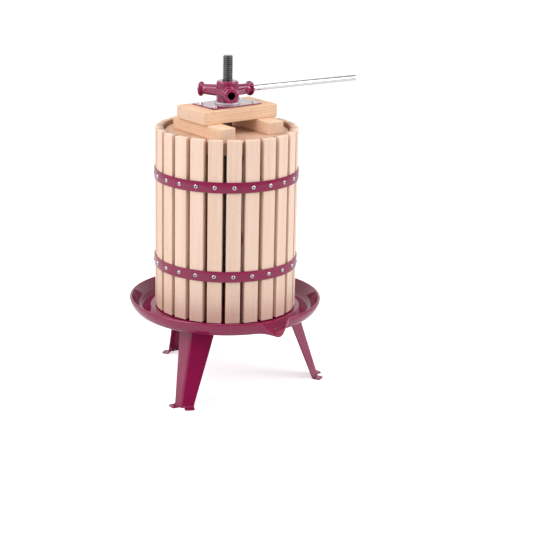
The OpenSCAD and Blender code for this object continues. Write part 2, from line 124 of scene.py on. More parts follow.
# Press head
BOARD_GAP = 1.6 * MM
BOARD_EDGE = 1.4 * MM
BLOCK_EDGE = 2 * MM
SPINDLE_HOLE_R = 11.5 * MM
PLATE_L = 119 * MM
PLATE_W = 71.5 * MM
PLATE_TURN = math.radians(1.4)
PLATE_CORNER = 4 * MM
PLATE_EDGE = 0.5 * MM
PLATE_SCREW_IN = 13 * MM
WASHER_EDGE = 0.6 * MM
SUPPORT_EDGE = 0.8 * MM

# Spindle; where the thread's crest ends, and where its root starts and ends, are shares of the pitch
THREAD_PITCH = 4 * MM
THREAD_DEPTH = 2 * MM
CREST_END = 0.34
ROOT_START = 0.48
ROOT_END = 0.86
SPINDLE_CHAMFER = 2 * MM

# Crank and bar
HUB_R = 21.5 * MM
HUB_EDGE = 3 * MM
HUB_BORE_CLEARANCE = 0.06 * MM
CRANK_TURN = math.radians(2.2)
ARM_COUNT = 3
ARM_TURNS = [CRANK_TURN + math.tau * i / ARM_COUNT for i in range(ARM_COUNT)]
ARM_ROOT_R = 11.4 * MM
ARM_R = 10.2 * MM
ARM_REACH = 58 * MM
COLLAR_R = 14.25 * MM
COLLAR_L = 6 * MM
COLLAR_EDGE = 2.6 * MM
COLLAR_RUN = 3 * MM
WEB_T = 8 * MM
WEB_END = 5 * MM
BLEND_VOXEL = 0.6 * MM
BLEND_ROUNDS = 10
BLEND_LOSS = 0.3 * MM
SOCKET_R = 6.5 * MM
SOCKET_IN = 18 * MM
SOCKET_FLARE = 0.8 * MM
CUT_LEAD = 2 * MM
BAR_R = 6 * MM
BAR_L = 317 * MM
BAR_IN = 19 * MM
BAR_EDGE = 1.2 * MM
BAR_DROOP = math.atan(0.75 / 40)

# Distances that count as touching
END_REACH = 0.1 * MM
WELD_REACH = 0.002 * MM
TOP_REACH = 0.01 * MM
BORE_REACH = 0.02 * MM

SEED = 7


# Mesh helpers

def arc(centre, radius, start, end, steps):
    """Points on an arc round a centre, from one angle to another."""
    angles = [start + (end - start) * i / steps for i in range(steps + 1)]
    return [(centre[0] + radius * math.cos(a), centre[1] + radius * math.sin(a)) for a in angles]


def full_turn(steps):
    """Even angles round a full turn."""
    return [math.tau * k / steps for k in range(steps)]


def ring(bm, radius, z, turns):
    """A level ring of vertices at some angles about Z, or one vertex where the radius is 0."""
    if not radius:
        return [bm.verts.new((0, 0, z))]
    return [bm.verts.new((radius * math.cos(a), radius * math.sin(a), z)) for a in turns]


def rounded_block(size, edge):
    """A block about the origin with round edges."""
    bm = bmesh.new()
    bmesh.ops.create_cube(bm, size=1.0)
    bmesh.ops.scale(bm, vec=size, verts=bm.verts)
    bmesh.ops.bevel(bm, geom=bm.edges[:], offset=edge, segments=4, profile=0.5, affect="EDGES")
    return bm


def skin(bm, rows, around=True):
    """Faces between neighbouring rows of vertices; a row of one vertex is a pole."""
    for low, high in zip(rows, rows[1:]):
        count = max(len(low), len(high))
        for k in range(count if around else count - 1):
            n = (k + 1) % count
            corners = [low[k % len(low)], low[n % len(low)], high[n % len(high)], high[k % len(high)]]
            corners = list(dict.fromkeys(corners))
            if len(corners) > 2:
                bm.faces.new(corners)


def lathe(profile, steps, loop=False):
    """A profile of (radius, z) points turned about Z; loop joins its last point to its first."""
    bm = bmesh.new()
    rows = [ring(bm, radius, z, full_turn(steps)) for radius, z in profile]
    skin(bm, rows + rows[:1] if loop else rows)
    bmesh.ops.recalc_face_normals(bm, faces=bm.faces[:])
    return bm


def ring_profile(inner, outer, low, high, edge):
    """A washer's section with round outer corners, as a loop of (radius, z) points."""
    return (
        [(inner, high), (inner, low)]
        + arc((outer - edge, low + edge), edge, -QUARTER, 0, 3)
        + arc((outer - edge, high - edge), edge, 0, QUARTER, 3)
    )


def extruded(outline, low, high):
    """A plate of an outline of (x, y) points, between two heights."""
    bm = bmesh.new()
    face = bm.faces.new([bm.verts.new((x, y, low)) for x, y in outline])
    top = bmesh.ops.extrude_face_region(bm, geom=[face])
    moved = [v for v in top["geom"] if isinstance(v, bmesh.types.BMVert)]
    bmesh.ops.translate(bm, vec=(0, 0, high - low), verts=moved)
    bmesh.ops.recalc_face_normals(bm, faces=bm.faces[:])
    return bm


def merge(bm, other, place):
    """Adds a placed copy of another mesh."""
    mesh = bpy.data.meshes.new("part")
    other.to_mesh(mesh)
    mesh.transform(place)
    bm.from_mesh(mesh)
    bpy.data.meshes.remove(mesh)


def finished_mesh(name, bm):
    """A mesh made from working geometry, which it frees."""
    mesh = bpy.data.meshes.new(name)
    bm.to_mesh(mesh)
    bm.free()
    return mesh


def new_object(name, data):
    """A new object in the scene."""
    made = bpy.data.objects.new(name, data)
    bpy.context.scene.collection.objects.link(made)
    return made


def add_piece(name, bm, body, stands_for, material, sharp=35):
    """A finished piece that rides on a body and stands for CAD nodes."""
    mesh = finished_mesh(name, bm)
    mesh.shade_smooth()
    mesh.set_sharp_from_angle(angle=math.radians(sharp))
    mesh.materials.append(material)
    piece = new_object(name, mesh)
    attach(piece, body)
    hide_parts(*stands_for)
    return piece


def soften_edges(piece, width, segments=2, angle=40):
    """Rounds a piece's sharp edges, and keeps its flat faces flat in shading."""
    bevel = piece.modifiers.new("edges", "BEVEL")
    bevel.width = width
    bevel.segments = segments
    bevel.limit_method = "ANGLE"
    bevel.angle_limit = math.radians(angle)
    bevel.harden_normals = True


def flat_faces(piece):
    """Keeps the large faces of a rounded block flat in shading."""
    piece.modifiers.new("flat_faces", "WEIGHTED_NORMAL").keep_sharp = True


def facing_out(point):
    """A turn about Z that takes +X to a point's direction from the middle."""
    return Matrix.Rotation(math.atan2(point.y, point.x), 4, "Z")


# Materials

class Graph:
    """The node tree of a material or a world, built by naming each node's kind, inputs and settings."""

    def __init__(self, owner):
        owner.use_nodes = True
        self.owner = owner
        self.tree = owner.node_tree
        self.tree.nodes.clear()

    def add(self, kind, inputs=None, **settings):
        node = self.tree.nodes.new("ShaderNode" + kind)
        for key, value in settings.items():
            setattr(node, key, value)
        for key, value in (inputs or {}).items():
            if isinstance(value, bpy.types.NodeSocket):
                self.tree.links.new(value, node.inputs[key])
            else:
                node.inputs[key].default_value = value
        return node

    def attribute(self, name, output="Fac"):
        return self.add("Attribute", attribute_name=name).outputs[output]

    def math(self, operation, a, b):
        return self.add("Math", {0: a, 1: b}, operation=operation).outputs[0]

    def times(self, a, b):
        return self.math("MULTIPLY", a, b)

    def dot(self, a, b):
        return self.add("VectorMath", {0: a, 1: b}, operation="DOT_PRODUCT").outputs["Value"]

    def scaled(self, vector, scale):
        return self.add("Mapping", {"Vector": vector, "Scale": scale}).outputs[0]

    def noise(self, vector, scale=1.0, detail=3.0, roughness=0.55):
        inputs = {"Vector": vector, "Scale": scale, "Detail": detail, "Roughness": roughness}
        return self.add("TexNoise", inputs).outputs["Fac"]

    def fit(self, value, low, high, to_low=0.0, to_high=1.0):
        inputs = {"Value": value, 1: low, 2: high, 3: to_low, 4: to_high}
        return self.add("MapRange", inputs, clamp=True).outputs[0]

    def either(self, share, a, b):
        return self.add("Mix", {0: share, 2: a, 3: b}).outputs[0]

    def blend(self, share, a, b):
        return self.add("Mix", {0: share, 6: a, 7: b}, data_type="RGBA").outputs[2]

    def bump(self, height, distance, strength=1.0):
        inputs = {"Height": height, "Distance": distance, "Strength": strength}
        return self.add("Bump", inputs).outputs[0]

    def surface(self, inputs):
        shader = self.add("BsdfPrincipled", inputs)
        self.add("OutputMaterial", {"Surface": shader.outputs[0]})
        return self.owner


def srgb(red, green, blue):
    """A colour written as 0 to 255 screen values."""
    def linear(value):
        share = value / 255
        return share / 12.92 if share <= 0.04045 else ((share + 0.055) / 1.055) ** 2.4
    return (linear(red), linear(green), linear(blue), 1.0)


# How often the wood's marks repeat in a metre, along the grain and across it
BAND_SCALE = (2.2, 46, 46)
PORE_SCALE = (9, 520, 520)
RING_WAVES = {"Scale": 62.0, "Distortion": 2.2, "Detail": 2.0, "Detail Scale": 0.35}
STAVE_FLECKS = (190, 760, 760)
HEAD_FLECKS = (120, 380, 380)
HEAD_FLECK_TURN = 0.35

# A fleck's full core and its rim, as shares of its cell
FLECK_CORE = 0.16
FLECK_RIM = 0.34

# How much each mark shows in the wood's colour
TONE_SHARE = 0.35
PORE_SHARE = 0.2
RING_SHARE = 0.1
END_SHARE = 0.75
FLECK_SHARE = 0.52
# Painted shade on stave sides deep in the gaps between staves: how much of it, and its colour
GAP_SHADE_SHARE = 0.8
GAP_SHADE = srgb(158, 100, 64)

WOOD_RELIEF = 0.15 * MM
METAL_RELIEF = 0.04 * MM
SHEET_LUMP = 0.005 * MM
CAST_LUMP = 0.02 * MM
PAINT_GLOSS = (0.05, 0.08)
LACQUER_GLOSS = 0.05
PAINT_IOR = 1.52
# Near-black painted shade for the screws' cross recesses
RECESS_SHADE = (0.02, 0.02, 0.022, 1)


def beech(name, pale, warm, deep, end, flecked, fleck_scale, fleck_turn):
    """Planed beech: bands, growth rings, fine pores along the grain, dark flecks, pale ends, and painted
    shade on the sides of staves deep in their gaps. Flecked is the share of the flecks' cells that hold one."""
    g = Graph(bpy.data.materials.new(name))
    grain = g.attribute("grain", "Vector")
    bands = g.noise(g.scaled(grain, BAND_SCALE), detail=2.0)
    pores = g.noise(g.scaled(grain, PORE_SCALE), detail=4.0, roughness=0.6)
    rings = g.add(
        "TexWave", {"Vector": grain, **RING_WAVES},
        wave_type="RINGS", rings_direction="X", wave_profile="SAW",
    ).outputs["Fac"]
    slant = g.add("Mapping", {"Vector": grain, "Rotation": (0, fleck_turn, fleck_turn)}).outputs[0]
    cells = g.add("TexVoronoi", {"Vector": g.scaled(slant, fleck_scale), "Scale": 1.0})
    pick = g.add("SeparateColor", {0: cells.outputs["Color"]}).outputs[0]
    chosen = g.math("GREATER_THAN", pick, 1 - flecked)
    flecks = g.times(g.fit(cells.outputs["Distance"], FLECK_CORE, FLECK_RIM, 1.0, 0.0), chosen)
    warmth = g.fit(g.math("ADD", bands, g.times(g.attribute("tone"), TONE_SHARE)), 0.40, 0.86)
    colour = g.blend(warmth, pale, warm)
    colour = g.blend(g.fit(pores, 0.46, 0.72, 0.0, PORE_SHARE), colour, deep)
    colour = g.blend(g.times(rings, RING_SHARE), colour, deep)
    colour = g.blend(g.times(g.attribute("end_grain"), END_SHARE), colour, end)
    colour = g.blend(g.times(flecks, FLECK_SHARE), colour, deep)
    # Painted shade on the stave sides, darker towards the inside of the basket
    colour = g.blend(g.fit(g.attribute("depth"), 0.1, 1.0, 0.0, GAP_SHADE_SHARE), colour, GAP_SHADE)
    height = g.math("SUBTRACT", g.times(pores, 0.6), g.times(flecks, 0.5))
    return g.surface({
        "Base Color": colour,
        "Roughness": g.fit(pores, 0.3, 0.7, 0.46, 0.62),
        "Specular IOR Level": 0.32,
        "Normal": g.bump(height, WOOD_RELIEF, 0.5),
    })


def gloss_paint(name, colour, shade, lump, lacquer=0.0):
    """Gloss paint: a slight drift of colour over a smooth skin that follows a slow lumpiness below, with or
    without a clear lacquer."""
    g = Graph(bpy.data.materials.new(name))
    place = g.add("TexCoord").outputs["Object"]
    return g.surface({
        "Base Color": g.blend(g.fit(g.noise(place, scale=14.0), 0.35, 0.7), colour, shade),
        "Roughness": g.fit(g.noise(place, scale=9.0, detail=2.0), 0.3, 0.7, *PAINT_GLOSS),
        "IOR": PAINT_IOR,
        "Normal": g.bump(g.noise(place, scale=40.0, detail=1.0), lump),
        "Coat Weight": lacquer,
        "Coat Roughness": LACQUER_GLOSS,
    })


def bare_metal(name, colour, shade, rough, streak, metallic=1.0):
    """Bare or plated steel: patchy tint, fine marks stretched by streak, and painted shade in screw
    recesses.
    """
    g = Graph(bpy.data.materials.new(name))
    place = g.add("TexCoord").outputs["Object"]
    patches = g.noise(place, scale=90.0, detail=4.0)
    marks = g.noise(g.scaled(place, streak), detail=4.0, roughness=0.65)
    tint = g.blend(g.fit(patches, 0.35, 0.68), colour, shade)
    # The recess mask blends in near-black painted shade
    return g.surface({
        "Base Color": g.blend(g.attribute("recess"), tint, RECESS_SHADE),
        "Metallic": metallic,
        "Roughness": g.fit(marks, 0.3, 0.7, rough * 0.75, rough * 1.25),
        "Normal": g.bump(marks, METAL_RELIEF, rough),
    })


STAVE_WOOD = beech(
    "stave_beech", srgb(246, 218, 199), srgb(238, 204, 180), srgb(205, 158, 128), srgb(248, 224, 206),
    flecked=0.14, fleck_scale=STAVE_FLECKS, fleck_turn=0.0,
)
HEAD_WOOD = beech(
    "head_beech", srgb(245, 211, 182), srgb(238, 196, 158), srgb(170, 112, 74), srgb(232, 200, 178),
    flecked=0.45, fleck_scale=HEAD_FLECKS, fleck_turn=HEAD_FLECK_TURN,
)
# The boards' beech is a darker copy of the head's beech, darkened as painted shade for boards sunk inside
# the basket
SHADED_BOARD_WOOD = beech(
    "shaded_board_beech", srgb(221, 184, 159), srgb(213, 171, 139), srgb(154, 99, 66), srgb(210, 174, 154),
    flecked=0.3, fleck_scale=HEAD_FLECKS, fleck_turn=HEAD_FLECK_TURN,
)

BURGUNDY = srgb(141, 15, 72)
BURGUNDY_SHADE = srgb(134, 13, 67)
PAINT = gloss_paint("burgundy_gloss", BURGUNDY, BURGUNDY_SHADE, SHEET_LUMP)
PLATE_PAINT = gloss_paint("burgundy_plate", BURGUNDY, BURGUNDY_SHADE, SHEET_LUMP, lacquer=0.85)
# The crank's burgundy is the same paint made a little lighter and redder, as painted light on the raised hub
LIT_CAST_PAINT = gloss_paint("burgundy_cast_lit", srgb(150, 22, 82), srgb(140, 17, 74), CAST_LUMP, lacquer=0.45)

EVEN = (240, 240, 240)
ROUND_THE_THREAD = (300, 300, 900)
ALONG_THE_BAR = (6, 40, 40)
ZINC = bare_metal("zinc_plate", srgb(238, 238, 239), srgb(214, 215, 217), 0.3, EVEN)
SCREW_STEEL = bare_metal("screw_steel", srgb(150, 150, 152), srgb(120, 121, 123), 0.16, EVEN)
WASHER_ZINC = bare_metal("washer_zinc", srgb(236, 232, 241), srgb(226, 222, 232), 0.4, EVEN, metallic=0.2)
THREAD_STEEL = bare_metal("thread_steel", srgb(118, 118, 119), srgb(94, 95, 96), 0.4, ROUND_THE_THREAD)
# Bare iron, darkened almost to black as painted shade deep in the crank's sockets
SHADED_BARE_IRON = bare_metal("shaded_bare_iron", srgb(52, 50, 50), srgb(38, 37, 37), 0.6, EVEN)
CHROME = bare_metal("bright_chrome", srgb(230, 231, 233), srgb(224, 225, 228), 0.05, ALONG_THE_BAR)


# Wood

def lay_grain(bm, along, draw):
    """Stores where each vertex lies in its log, grain along one axis, the piece's tone and its cut ends."""
    place = bm.verts.layers.float_vector.new("grain")
    shade = bm.verts.layers.float.new("tone")
    cut = bm.verts.layers.float.new("end_grain")
    order = [along] + [axis for axis in range(3) if axis != along]
    reach = max(v.co[along] for v in bm.verts)
    up_the_log = draw.uniform(0, 6)
    beside_heart = draw.choice((-1, 1)) * draw.uniform(0.02, 0.06)
    above_heart = draw.uniform(0.05, 0.12)
    start = Vector((up_the_log, beside_heart, above_heart))
    tone = draw.uniform(-0.5, 0.5)
    for v in bm.verts:
        v[place] = Vector([v.co[axis] for axis in order]) + start
        v[shade] = tone
        v[cut] = 1.0 if abs(v.co[along]) > reach - END_REACH else 0.0


def stave_names():
    """The CAD staves, in order."""
    return sorted(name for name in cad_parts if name.startswith("stave_"))


def make_staves():
    """One rounded stave for each CAD stave, whose sides carry painted shade that darkens with depth into the
    gaps.
    """
    draw = random.Random(SEED)
    for name in stave_names():
        low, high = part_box(name)
        low.z += STAVE_LIFT
        centre = (low + high) / 2
        bm = rounded_block((STAVE_T, STAVE_W, high.z - low.z), STAVE_EDGE)
        lay_grain(bm, 2, draw)
        # How far each vertex lies towards the inside of the basket, which sets the painted shade on the
        # sides
        depth = bm.verts.layers.float.new("depth")
        for v in bm.verts:
            v[depth] = 0.5 - v.co.x / STAVE_T
        place = Matrix.Translation(centre) @ facing_out(centre)
        bmesh.ops.transform(bm, matrix=place, verts=bm.verts)
        flat_faces(add_piece(f"beech_{name}", bm, "basket", [name], STAVE_WOOD))


def make_press_boards():
    """The two half rounds with their spindle hole."""
    draw = random.Random(SEED + 1)
    for side, name in ((-1, "press_board_front"), (1, "press_board_back")):
        low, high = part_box(name)
        radius = high.x
        out = math.asin(BOARD_GAP / 2 / radius)
        hole = math.asin(BOARD_GAP / 2 / SPINDLE_HOLE_R)
        outline = arc((0, 0), radius, out, math.pi - out, 72)
        outline += arc((0, 0), SPINDLE_HOLE_R, math.pi - hole, hole, 16)
        bm = extruded([(x, side * y) for x, y in outline], low.z, high.z)
        lay_grain(bm, 0, draw)
        board = add_piece(f"beech_{name}", bm, "press_head", [name], SHADED_BOARD_WOOD)
        soften_edges(board, BOARD_EDGE)


def make_press_blocks():
    """The beams and the top block, which fill their CAD boxes, with the grain along each."""
    draw = random.Random(SEED + 2)
    for name, along in (("beam_left", 1), ("beam_right", 1), ("top_block", 0)):
        low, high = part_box(name)
        bm = rounded_block(high - low, BLOCK_EDGE)
        lay_grain(bm, along, draw)
        bmesh.ops.translate(bm, vec=(low + high) / 2, verts=bm.verts)
        flat_faces(add_piece(f"beech_{name}", bm, "press_head", [name], HEAD_WOOD))


# Fasteners

def within(value):
    """A value kept between 0 and 1."""
    return min(1.0, max(0.0, value))


def cross_head(draw):
    """A pan-head screw standing on the origin with a cross recess, turned at random about its axis."""
    rings, steps = 16, 48
    bm = bmesh.new()
    # How far each vertex lies in the cross recess, which sets its painted shade
    shade = bm.verts.layers.float.new("recess")
    twist = draw.uniform(0, math.pi)
    turned = [angle + twist for angle in full_turn(steps)]
    rows = [ring(bm, 0, SCREW_HEAD_H - RECESS_DEPTH, turned)]
    rows[0][0][shade] = 1.0
    for i in range(1, rings + 1):
        radius = SCREW_HEAD_R * i / rings
        swell = math.sqrt(within(1 - (radius / SCREW_HEAD_R) ** HEAD_ROUNDNESS))
        dome = SCREW_HEAD_H * (HEAD_RIM_SHARE + (1 - HEAD_RIM_SHARE) * swell)
        depth = RECESS_DEPTH * (1 - RECESS_TAPER * radius / RECESS_L)
        row = ring(bm, radius, dome, turned)
        for v, angle in zip(row, full_turn(steps)):
            x, y = abs(radius * math.cos(angle)), abs(radius * math.sin(angle))
            inside = within((RECESS_HALF_W - min(x, y)) / RECESS_SIDE_RUN)
            inside *= within((RECESS_L - max(x, y)) / RECESS_END_RUN)
            if radius < RECESS_L:
                v.co.z -= depth * inside
            v[shade] = inside
        rows.append(row)
    for radius, z in ((SCREW_HEAD_R, 0), (SCREW_SHANK_R, 0), (SCREW_SHANK_R, -SCREW_SHANK_L)):
        rows.append(ring(bm, radius, z, turned))
    rows.append(ring(bm, 0, -SCREW_SHANK_L, turned))
    skin(bm, rows)
    bmesh.ops.recalc_face_normals(bm, faces=bm.faces[:])
    return bm


def make_hoop_screws():
    """One screw for each stave on each hoop."""
    draw = random.Random(SEED + 3)
    lying = Matrix.Rotation(QUARTER, 4, "Y")
    for hoop in ("upper_hoop", "lower_hoop"):
        low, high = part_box(hoop)
        seat = Matrix.Translation((high.x, 0, (low.z + high.z) / 2)) @ lying
        bm = bmesh.new()
        for stave in stave_names():
            centre = sum(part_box(stave), Vector()) / 2
            merge(bm, cross_head(draw), facing_out(centre) @ seat)
        node = f"{hoop}_screws"
        add_piece(f"zinc_{node}", bm, "basket", [node], ZINC, sharp=50)


def make_plate_screws():
    """The pressure plate's four corner screws."""
    draw = random.Random(SEED + 4)
    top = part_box("pressure_plate")[1].z
    turn = Matrix.Rotation(PLATE_TURN, 4, "Z")
    bm = bmesh.new()
    for x in (-1, 1):
        for y in (-1, 1):
            spot = (x * (PLATE_L / 2 - PLATE_SCREW_IN), y * (PLATE_W / 2 - PLATE_SCREW_IN), top)
            merge(bm, cross_head(draw), turn @ Matrix.Translation(spot))
    add_piece("steel_plate_screws", bm, "press_head", ["plate_screws"], ZINC, sharp=50)


def hexagon(across, low, high, hole):
    """A hexagonal nut with the usual chamfer on both faces."""
    turns = full_turn(72)
    sixth = math.pi / 3
    flat = across / 2
    reach = [flat / math.cos((a + sixth / 2) % sixth - sixth / 2) for a in turns]
    drop = [max(0.0, r - flat * NUT_CHAMFER_SHARE) * math.tan(NUT_CHAMFER) for r in reach]
    bm = bmesh.new()

    def corners(heights):
        places = zip(turns, reach, heights)
        return [bm.verts.new((r * math.cos(a), r * math.sin(a), z)) for a, r, z in places]

    rows = [
        ring(bm, hole, low, turns),
        ring(bm, flat * NUT_FACE_SHARE, low, turns),
        corners([low + d for d in drop]),
        corners([high - d for d in drop]),
        ring(bm, flat * NUT_FACE_SHARE, high, turns),
        ring(bm, hole, high, turns),
    ]
    skin(bm, rows + rows[:1])
    bmesh.ops.recalc_face_normals(bm, faces=bm.faces[:])
    return bm


def make_nuts():
    """The spindle's two nuts, above and below the tray."""
    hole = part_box("spindle")[1].x + NUT_CLEARANCE
    for name in ("spindle_upper_nut", "spindle_lower_nut"):
        low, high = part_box(name)
        bm = hexagon(min(high.x - low.x, high.y - low.y), low.z, high.z, hole)
        add_piece(f"steel_{name}", bm, "base", [name], SCREW_STEEL, sharp=30)


# Painted and turned metal

def make_hoops():
    """The two flat hoops with slightly round edges."""
    for name in ("upper_hoop", "lower_hoop"):
        low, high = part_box(name)
        left = high.x - HOOP_T + HOOP_EDGE
        right = high.x - HOOP_EDGE
        under = low.z + HOOP_EDGE
        over = high.z - HOOP_EDGE
        section = []
        for k, corner in enumerate(((right, over), (left, over), (left, under), (right, under))):
            section += arc(corner, HOOP_EDGE, k * QUARTER, (k + 1) * QUARTER, 3)
        bm = lathe(section, steps=240, loop=True)
        add_piece(f"painted_{name}", bm, "basket", [name], PAINT)


def tray_section():
    """The tray's section in four runs: the upper face to the channel, the wall with the rolled rim,
    the wall's outer face back down, and the underside."""
    rim_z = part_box("tray")[1].z
    top = rim_z - RIM_RISE
    floor = top - CHANNEL_DEPTH
    bends = CREST_R + TROUGH_R
    run = bends * math.sin(CHANNEL_SLOPE)
    run += (CHANNEL_DEPTH - bends * (1 - math.cos(CHANNEL_SLOPE))) / math.tan(CHANNEL_SLOPE)
    trough = PLATEAU_R + run
    foot = trough + CHANNEL_FLAT
    roll_z = rim_z - RIM_ROLL_R
    wall_start_z = floor + WALL_FOOT_R * (1 - math.cos(WALL_SLOPE))
    wall_end_z = roll_z + RIM_ROLL_R * math.cos(WALL_SLOPE)
    wall_run = (wall_end_z - wall_start_z) / math.tan(WALL_SLOPE)
    roll_at = foot + (WALL_FOOT_R + RIM_ROLL_R) * math.sin(WALL_SLOPE) + wall_run
    down = 3 * QUARTER
    crest = (PLATEAU_R, top - CREST_R)
    bed = (trough, floor + TROUGH_R)

    def plateau(z):
        return [(TRAY_HOLE_R + (PLATEAU_R - TRAY_HOLE_R) * i / 8, z) for i in range(8)]

    inner = plateau(top)
    inner += arc(crest, CREST_R, QUARTER, QUARTER - CHANNEL_SLOPE, 8)
    inner += arc(bed, TROUGH_R, down - CHANNEL_SLOPE, down, 8)
    wall = arc((foot, floor + WALL_FOOT_R), WALL_FOOT_R, down, down + WALL_SLOPE, 14)
    wall += arc((roll_at, roll_z), RIM_ROLL_R, QUARTER + WALL_SLOPE, 0, 14)
    rim = Vector((roll_at + RIM_ROLL_R, roll_z))
    low = Vector((foot, floor - TRAY_T))
    rim_handle = rim - Vector((0, OUTER_WALL_DROP))
    low_handle = low + Vector((OUTER_WALL_RUN, 0))
    outer = [tuple(p) for p in interpolate_bezier(rim, rim_handle, low_handle, low, 18)[1:]]
    under = arc(bed, TROUGH_R + TRAY_T, down, down - CHANNEL_SLOPE, 8)
    under += arc(crest, CREST_R - TRAY_T, QUARTER - CHANNEL_SLOPE, QUARTER, 8)
    under += reversed(plateau(top - TRAY_T))
    return inner, wall, outer, under


def spout_bed(share, start):
    """A point along the middle of the spout's bed, from the channel at 0 to the tip at 1."""
    tip = -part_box("tray")[0].y / math.cos(SPOUT_TURN)
    fall = SPOUT_LIP_DROP * max(0.0, (share - SPOUT_LIP_FROM) / (1 - SPOUT_LIP_FROM)) ** 2
    radius = start[0] + (tip - start[0]) * math.sin(share * QUARTER) ** SPOUT_BED_CURVE
    return radius, start[1] + SPOUT_RISE * share - fall


def spout_share(across):
    """How far the wall gives way to the spout at a distance from the spout's middle: 1 there, 0 outside."""
    swing = math.cos(math.pi * min(1.0, abs(across) / SPOUT_HALF_W))
    return (0.5 + 0.5 * swing) ** SPOUT_SHOULDER_CURVE


def make_tray():
    """The pressed tray: its section turned round, with the wall bent out into the spout."""
    inner, wall, outer, under = tray_section()
    lengths = [0.0]
    for a, b in zip(wall, wall[1:]):
        lengths.append(lengths[-1] + math.dist(a, b))
    bent = [(p, spout_bed(length / lengths[-1], wall[0])) for p, length in zip(wall, lengths)]
    for i, point in enumerate(outer):
        radius, z = spout_bed(1 - i / (len(outer) - 1), wall[0])
        bent.append((point, (radius, z - TRAY_T)))
    rim_r = wall[-1][0]
    middle = -QUARTER + SPOUT_TURN
    turns = [SPOUT_STEP * i for i in range(-SPOUT_STEPS, SPOUT_STEPS + 1)]
    start, end = turns[-1], math.tau + turns[0]
    turns += [start + (end - start) * i / REST_STEPS for i in range(1, REST_STEPS)]
    shares = [spout_share(rim_r * math.remainder(t, math.tau)) for t in turns]
    bm = bmesh.new()

    def row(plain, spout):
        verts = []
        for t, share in zip(turns, shares):
            radius, z = (a + (b - a) * share for a, b in zip(plain, spout))
            verts.append(bm.verts.new((radius * math.cos(middle + t), radius * math.sin(middle + t), z)))
        return verts

    rows = [row(p, p) for p in inner[:-1]]
    rows += [row(plain, spout) for plain, spout in bent[:-1]]
    rows += [row(p, p) for p in under]
    skin(bm, rows + rows[:1])
    bmesh.ops.recalc_face_normals(bm, faces=bm.faces[:])
    add_piece("painted_tray", bm, "base", ["tray"], PAINT, sharp=60)


def leg_face(z, top_z, distance, side):
    """A point on a leg's outer face: its distance from the ridge corner along one side, at a height."""
    ridge = LEG_TOP_R + LEG_SPLAY * (1 - z / top_z)
    return Vector((ridge - distance * math.sin(LEG_SIDE_TURN), side * distance * math.cos(LEG_SIDE_TURN), z))


def add_foot_tab(bm, edge, side, lean):
    """Bends the sheet outwards below one side of a leg, and runs it out to a tab with round corners."""
    bend_steps, tab_steps = 6, 10
    out = Vector((math.cos(LEG_SIDE_TURN), side * math.sin(LEG_SIDE_TURN), 0))
    along = Vector((-math.sin(LEG_SIDE_TURN), side * math.cos(LEG_SIDE_TURN), 0))
    middle = sum((v.co for v in edge), Vector()) / len(edge)
    half = (edge[0].co - edge[-1].co).length / 2
    rows = [edge]
    for i in range(1, bend_steps + 1):
        angle = math.pi + lean + (QUARTER - lean) * i / bend_steps
        reach = FOOT_BEND_R * (math.cos(angle) + math.cos(lean))
        z = LEG_T + FOOT_BEND_R * (1 + math.sin(angle))
        spots = [v.co + out * reach for v in edge]
        rows.append([bm.verts.new((spot.x, spot.y, z)) for spot in spots])
    start = FOOT_BEND_R * math.cos(lean)
    for i in range(1, tab_steps + 1):
        reach = start + (FOOT_TAB_L - start) * i / tab_steps
        past = max(0.0, reach - FOOT_TAB_L + FOOT_TAB_CORNER)
        narrow = FOOT_TAB_CORNER - math.sqrt(max(0.0, FOOT_TAB_CORNER ** 2 - past ** 2))
        share = 1 - narrow / half
        spots = [middle + along * (v.co - middle).dot(along) * share + out * reach for v in edge]
        rows.append([bm.verts.new((spot.x, spot.y, LEG_T)) for spot in spots])
    skin(bm, rows, around=False)


def leg_sheet(top_z):
    """A leg's folded sheet along +X with its two foot tabs, as one open surface."""
    bm = bmesh.new()
    lean = math.atan(LEG_SPLAY * math.cos(LEG_SIDE_TURN) / top_z)
    bend_z = LEG_T + FOOT_BEND_R * (1 - math.sin(lean))
    tangent = LEG_RIDGE_R * math.tan(LEG_SIDE_TURN)
    side_steps, ridge_steps, tall_steps = 10, 8, 12
    heights = [top_z + (bend_z - top_z) * i / tall_steps for i in range(tall_steps + 1)]

    def side_point(z, share, side):
        width = LEG_FOOT_W + (LEG_TOP_W - LEG_FOOT_W) * z / top_z
        return leg_face(z, top_z, tangent + (width - tangent) * share, side)

    def ridge_point(z, share):
        angle = LEG_SIDE_TURN * share
        centre = leg_face(z, top_z, 0, 1).x - LEG_RIDGE_R / math.cos(LEG_SIDE_TURN)
        return Vector((centre + LEG_RIDGE_R * math.cos(angle), LEG_RIDGE_R * math.sin(angle), z))

    shares = [i / side_steps for i in range(side_steps + 1)]
    ridge_shares = [2 * i / ridge_steps - 1 for i in range(1, ridge_steps)]
    rows = []
    for z in heights:
        row = [side_point(z, s, -1) for s in reversed(shares)]
        row += [ridge_point(z, s) for s in ridge_shares]
        row += [side_point(z, s, 1) for s in shares]
        rows.append([bm.verts.new(p) for p in row])
    skin(bm, rows, around=False)
    last = rows[-1]
    ridge = last[side_steps:side_steps + ridge_steps + 1]
    low_points = [side_point(LEG_RIDGE_END, 0, -1)]
    low_points += [ridge_point(LEG_RIDGE_END, s) for s in ridge_shares]
    low_points += [side_point(LEG_RIDGE_END, 0, 1)]
    skin(bm, [ridge, [bm.verts.new(p) for p in low_points]], around=False)
    add_foot_tab(bm, last[:side_steps + 1], -1, lean)
    add_foot_tab(bm, last[side_steps + ridge_steps:], 1, lean)
    bmesh.ops.recalc_face_normals(bm, faces=bm.faces[:])
    ridge_face = max(bm.faces, key=lambda f: f.calc_center_median().z + f.calc_center_median().x)
    if ridge_face.normal.x < 0:
        bmesh.ops.reverse_faces(bm, faces=bm.faces[:])
    return bm


